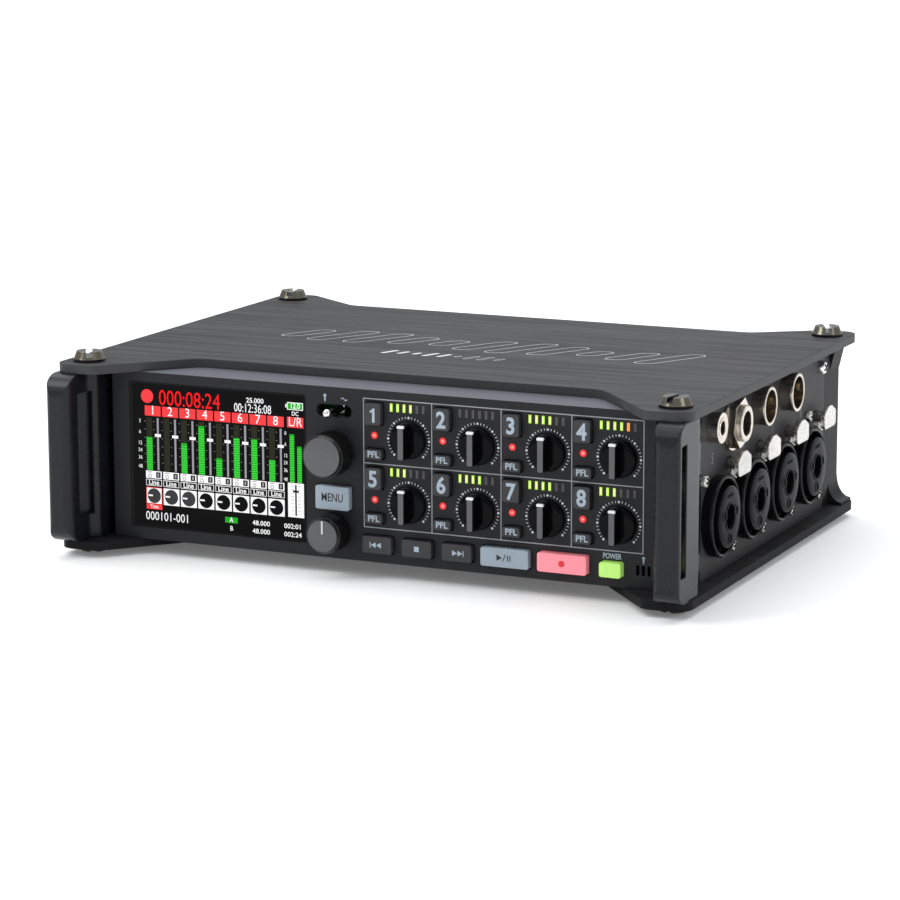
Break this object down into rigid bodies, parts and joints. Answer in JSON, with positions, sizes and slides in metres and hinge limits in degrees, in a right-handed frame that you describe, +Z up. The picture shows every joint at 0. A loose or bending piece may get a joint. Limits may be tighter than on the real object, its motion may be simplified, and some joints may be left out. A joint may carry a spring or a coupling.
{
  "type": "portable field recorder",
  "caption": "Portable audio field recorder with a front panel of keys, trim knobs and a display between two plates, side input sockets, carrying handles and a rear battery tray",
  "frame": {"origin": "under the middle of the case, level with the undersides of the feet", "axes": "+X to the right seen from the front, -Y out of the front panel, +Z up"},
  "size_m": [0.1782, 0.14, 0.0543],
  "materials": {
    "plate": "dark grey anodised, brushed",
    "case_wall": "dark grey, satin",
    "panel": "charcoal, satin",
    "handle": "blue-black, satin",
    "guard": "black, satin",
    "window": "black, polished",
    "display": "dark",
    "board": "green solder mask",
    "screw": "black nickel plated",
    "foot": "black",
    "jack": "black, polished",
    "socket": "nickel plated",
    "light": "translucent lens",
    "tray": "black, fine texture",
    "cell": "printed sleeve",
    "shaft": "ground",
    "knob": "dark grey, satin",
    "lever": "polished",
    "key_pale": "translucent, pale blue-grey",
    "key_dark": "charcoal, satin",
    "key_pink": "translucent, pink",
    "key_green": "lit, yellow-green",
    "trim": "black, polished",
    "latch": "bright, cast"
  },
  "bodies": {
    "case": {"top_plate": "plate", "bottom_plate": "plate", "chassis": "case_wall", "front_panel": "panel", "side_handles": "handle", "rear_guards": "guard", "display_window": "window", "display_module": "display", "main_board": "board", "case_screws": "screw", "rubber_feet": "foot", "input_jacks": "jack", "output_jacks": "socket", "rear_connectors": "socket", "indicator_lights": "light"},
    "battery_tray": {"battery_tray": "tray", "battery_cells": "cell"},
    "select_shaft": {"select_shaft": "shaft"},
    "select_knob": {"select_knob": "knob"},
    "volume_knob": {"volume_knob": "knob"},
    "slate_lever": {"slate_lever": "lever"},
    "menu_key": {"menu_key": "key_pale"},
    "rewind_key": {"rewind_key": "key_dark"},
    "stop_key": {"stop_key": "key_dark"},
    "forward_key": {"forward_key": "key_dark"},
    "play_key": {"play_key": "key_pale"},
    "record_key": {"record_key": "key_pink"},
    "power_key": {"power_key": "key_green"},
    "track_key_1": {"track_key_1": "key_dark"},
    "track_key_2": {"track_key_2": "key_dark"},
    "track_key_3": {"track_key_3": "key_dark"},
    "track_key_4": {"track_key_4": "key_dark"},
    "track_key_5": {"track_key_5": "key_dark"},
    "track_key_6": {"track_key_6": "key_dark"},
    "track_key_7": {"track_key_7": "key_dark"},
    "track_key_8": {"track_key_8": "key_dark"},
    "pfl_key_1": {"pfl_key_1": "key_dark"},
    "pfl_key_2": {"pfl_key_2": "key_dark"},
    "pfl_key_3": {"pfl_key_3": "key_dark"},
    "pfl_key_4": {"pfl_key_4": "key_dark"},
    "pfl_key_5": {"pfl_key_5": "key_dark"},
    "pfl_key_6": {"pfl_key_6": "key_dark"},
    "pfl_key_7": {"pfl_key_7": "key_dark"},
    "pfl_key_8": {"pfl_key_8": "key_dark"},
    "trim_knob_1": {"trim_knob_1": "trim"},
    "trim_knob_2": {"trim_knob_2": "trim"},
    "trim_knob_3": {"trim_knob_3": "trim"},
    "trim_knob_4": {"trim_knob_4": "trim"},
    "trim_knob_5": {"trim_knob_5": "trim"},
    "trim_knob_6": {"trim_knob_6": "trim"},
    "trim_knob_7": {"trim_knob_7": "trim"},
    "trim_knob_8": {"trim_knob_8": "trim"},
    "input_latch_1": {"input_latch_1": "latch"},
    "input_latch_2": {"input_latch_2": "latch"},
    "input_latch_3": {"input_latch_3": "latch"},
    "input_latch_4": {"input_latch_4": "latch"},
    "input_latch_5": {"input_latch_5": "latch"},
    "input_latch_6": {"input_latch_6": "latch"},
    "input_latch_7": {"input_latch_7": "latch"},
    "input_latch_8": {"input_latch_8": "latch"}
  },
  "joints": [
    {"name": "battery_tray_slide", "type": "slide", "parent": "case", "child": "battery_tray", "axis": [0, 1, 0], "range_m": [0, 0.055]},
    {"name": "select_push", "type": "slide", "parent": "case", "child": "select_shaft", "axis": [0, 1, 0], "range_m": [0, 0.0005], "stiffness_N_per_m": 900},
    {"name": "select_turn", "type": "hinge", "parent": "select_shaft", "child": "select_knob", "pos_m": [-0.0115, -0.0548, 0.0323], "axis": [0, 1, 0], "continuous": true},
    {"name": "volume_turn", "type": "hinge", "parent": "case", "child": "volume_knob", "pos_m": [-0.0115, -0.0548, 0.0116], "axis": [0, 1, 0], "range_deg": [-150, 150]},
    {"name": "slate_lever_swing", "type": "hinge", "parent": "case", "child": "slate_lever", "pos_m": [-0.0115, -0.0494, 0.0431], "axis": [0, 0, 1], "range_deg": [-18, 18], "stiffness_Nm_per_rad": 0.02},
    {"name": "menu_key_press", "type": "slide", "parent": "case", "child": "menu_key", "axis": [0, 1, 0], "range_m": [0, 0.0006], "stiffness_N_per_m": 700},
    {"name": "rewind_key_press", "type": "slide", "parent": "case", "child": "rewind_key", "axis": [0, 1, 0], "range_m": [0, 0.0006], "stiffness_N_per_m": 700},
    {"name": "stop_key_press", "type": "slide", "parent": "case", "child": "stop_key", "axis": [0, 1, 0], "range_m": [0, 0.0006], "stiffness_N_per_m": 700},
    {"name": "forward_key_press", "type": "slide", "parent": "case", "child": "forward_key", "axis": [0, 1, 0], "range_m": [0, 0.0006], "stiffness_N_per_m": 700},
    {"name": "play_key_press", "type": "slide", "parent": "case", "child": "play_key", "axis": [0, 1, 0], "range_m": [0, 0.0006], "stiffness_N_per_m": 700},
    {"name": "record_key_press", "type": "slide", "parent": "case", "child": "record_key", "axis": [0, 1, 0], "range_m": [0, 0.0006], "stiffness_N_per_m": 700},
    {"name": "power_key_press", "type": "slide", "parent": "case", "child": "power_key", "axis": [0, 1, 0], "range_m": [0, 0.0006], "stiffness_N_per_m": 700},
    {"name": "track_key_1_press", "type": "slide", "parent": "case", "child": "track_key_1", "axis": [0, 1, 0], "range_m": [0, 0.0006], "stiffness_N_per_m": 700},
    {"name": "track_key_2_press", "type": "slide", "parent": "case", "child": "track_key_2", "axis": [0, 1, 0], "range_m": [0, 0.0006], "stiffness_N_per_m": 700},
    {"name": "track_key_3_press", "type": "slide", "parent": "case", "child": "track_key_3", "axis": [0, 1, 0], "range_m": [0, 0.0006], "stiffness_N_per_m": 700},
    {"name": "track_key_4_press", "type": "slide", "parent": "case", "child": "track_key_4", "axis": [0, 1, 0], "range_m": [0, 0.0006], "stiffness_N_per_m": 700},
    {"name": "track_key_5_press", "type": "slide", "parent": "case", "child": "track_key_5", "axis": [0, 1, 0], "range_m": [0, 0.0006], "stiffness_N_per_m": 700},
    {"name": "track_key_6_press", "type": "slide", "parent": "case", "child": "track_key_6", "axis": [0, 1, 0], "range_m": [0, 0.0006], "stiffness_N_per_m": 700},
    {"name": "track_key_7_press", "type": "slide", "parent": "case", "child": "track_key_7", "axis": [0, 1, 0], "range_m": [0, 0.0006], "stiffness_N_per_m": 700},
    {"name": "track_key_8_press", "type": "slide", "parent": "case", "child": "track_key_8", "axis": [0, 1, 0], "range_m": [0, 0.0006], "stiffness_N_per_m": 700},
    {"name": "pfl_key_1_press", "type": "slide", "parent": "case", "child": "pfl_key_1", "axis": [0, 1, 0], "range_m": [0, 0.0006], "stiffness_N_per_m": 700},
    {"name": "pfl_key_2_press", "type": "slide", "parent": "case", "child": "pfl_key_2", "axis": [0, 1, 0], "range_m": [0, 0.0006], "stiffness_N_per_m": 700},
    {"name": "pfl_key_3_press", "type": "slide", "parent": "case", "child": "pfl_key_3", "axis": [0, 1, 0], "range_m": [0, 0.0006], "stiffness_N_per_m": 700},
    {"name": "pfl_key_4_press", "type": "slide", "parent": "case", "child": "pfl_key_4", "axis": [0, 1, 0], "range_m": [0, 0.0006], "stiffness_N_per_m": 700},
    {"name": "pfl_key_5_press", "type": "slide", "parent": "case", "child": "pfl_key_5", "axis": [0, 1, 0], "range_m": [0, 0.0006], "stiffness_N_per_m": 700},
    {"name": "pfl_key_6_press", "type": "slide", "parent": "case", "child": "pfl_key_6", "axis": [0, 1, 0], "range_m": [0, 0.0006], "stiffness_N_per_m": 700},
    {"name": "pfl_key_7_press", "type": "slide", "parent": "case", "child": "pfl_key_7", "axis": [0, 1, 0], "range_m": [0, 0.0006], "stiffness_N_per_m": 700},
    {"name": "pfl_key_8_press", "type": "slide", "parent": "case", "child": "pfl_key_8", "axis": [0, 1, 0], "range_m": [0, 0.0006], "stiffness_N_per_m": 700},
    {"name": "trim_knob_1_turn", "type": "hinge", "parent": "case", "child": "trim_knob_1", "pos_m": [0.0096, -0.0548, 0.0371], "axis": [0, 1, 0], "range_deg": [-150, 150]},
    {"name": "trim_knob_2_turn", "type": "hinge", "parent": "case", "child": "trim_knob_2", "pos_m": [0.0288, -0.0548, 0.0371], "axis": [0, 1, 0], "range_deg": [-150, 150]},
    {"name": "trim_knob_3_turn", "type": "hinge", "parent": "case", "child": "trim_knob_3", "pos_m": [0.048, -0.0548, 0.0371], "axis": [0, 1, 0], "range_deg": [-150, 150]},
    {"name": "trim_knob_4_turn", "type": "hinge", "parent": "case", "child": "trim_knob_4", "pos_m": [0.0672, -0.0548, 0.0371], "axis": [0, 1, 0], "range_deg": [-150, 150]},
    {"name": "trim_knob_5_turn", "type": "hinge", "parent": "case", "child": "trim_knob_5", "pos_m": [0.0096, -0.0548, 0.0203], "axis": [0, 1, 0], "range_deg": [-150, 150]},
    {"name": "trim_knob_6_turn", "type": "hinge", "parent": "case", "child": "trim_knob_6", "pos_m": [0.0288, -0.0548, 0.0203], "axis": [0, 1, 0], "range_deg": [-150, 150]},
    {"name": "trim_knob_7_turn", "type": "hinge", "parent": "case", "child": "trim_knob_7", "pos_m": [0.048, -0.0548, 0.0203], "axis": [0, 1, 0], "range_deg": [-150, 150]},
    {"name": "trim_knob_8_turn", "type": "hinge", "parent": "case", "child": "trim_knob_8", "pos_m": [0.0672, -0.0548, 0.0203], "axis": [0, 1, 0], "range_deg": [-150, 150]},
    {"name": "input_latch_1_press", "type": "slide", "parent": "case", "child": "input_latch_1", "axis": [1, 0, 0], "range_m": [0, 0.0007], "stiffness_N_per_m": 900},
    {"name": "input_latch_2_press", "type": "slide", "parent": "case", "child": "input_latch_2", "axis": [1, 0, 0], "range_m": [0, 0.0007], "stiffness_N_per_m": 900},
    {"name": "input_latch_3_press", "type": "slide", "parent": "case", "child": "input_latch_3", "axis": [1, 0, 0], "range_m": [0, 0.0007], "stiffness_N_per_m": 900},
    {"name": "input_latch_4_press", "type": "slide", "parent": "case", "child": "input_latch_4", "axis": [1, 0, 0], "range_m": [0, 0.0007], "stiffness_N_per_m": 900},
    {"name": "input_latch_5_press", "type": "slide", "parent": "case", "child": "input_latch_5", "axis": [-1, 0, 0], "range_m": [0, 0.0007], "stiffness_N_per_m": 900},
    {"name": "input_latch_6_press", "type": "slide", "parent": "case", "child": "input_latch_6", "axis": [-1, 0, 0], "range_m": [0, 0.0007], "stiffness_N_per_m": 900},
    {"name": "input_latch_7_press", "type": "slide", "parent": "case", "child": "input_latch_7", "axis": [-1, 0, 0], "range_m": [0, 0.0007], "stiffness_N_per_m": 900},
    {"name": "input_latch_8_press", "type": "slide", "parent": "case", "child": "input_latch_8", "axis": [-1, 0, 0], "range_m": [0, 0.0007], "stiffness_N_per_m": 900}
  ]
}
